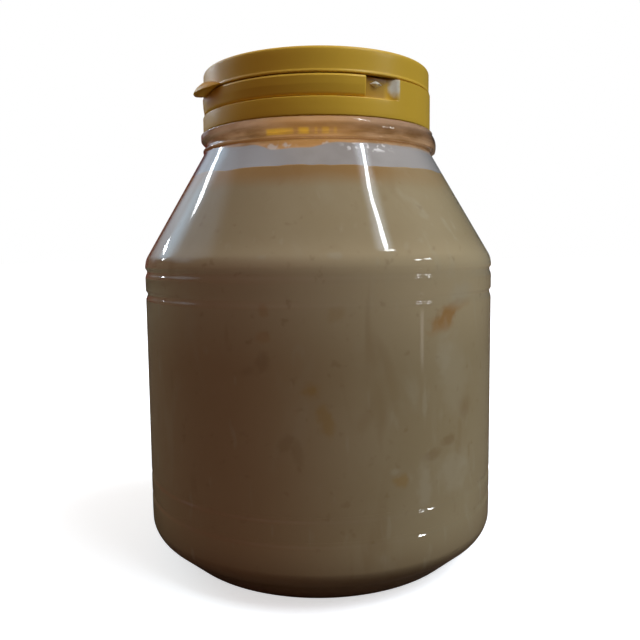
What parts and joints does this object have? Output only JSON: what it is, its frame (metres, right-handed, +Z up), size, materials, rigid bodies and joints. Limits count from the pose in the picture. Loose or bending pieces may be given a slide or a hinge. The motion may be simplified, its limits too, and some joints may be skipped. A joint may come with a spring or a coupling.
{
  "type": "honey jar",
  "caption": "Clear round jar with a conical shoulder, pressed rings and a bevelled heel, full of set honey and shut by a yellow flip-top cap with a tear strip and thumb tab.",
  "frame": {"origin": "middle of the base, on the surface that the jar stands on", "axes": "+Z up the jar's axis, -Y towards the viewer of the picture, +X to the viewer's right"},
  "size_m": [0.099, 0.099, 0.1348],
  "materials": {
    "jar": "clear blow-moulded plastic, glossy, faintly blue",
    "honey": "opaque set honey, cream-brown with soft streaks, seen through the wall",
    "cap": "moulded yellow plastic, satin gloss"
  },
  "bodies": {
    "root": {"jar": "jar", "honey": "honey", "cap_base": "cap", "cap_cover": "cap", "tear_strip": "cap"}
  },
  "joints": []
}
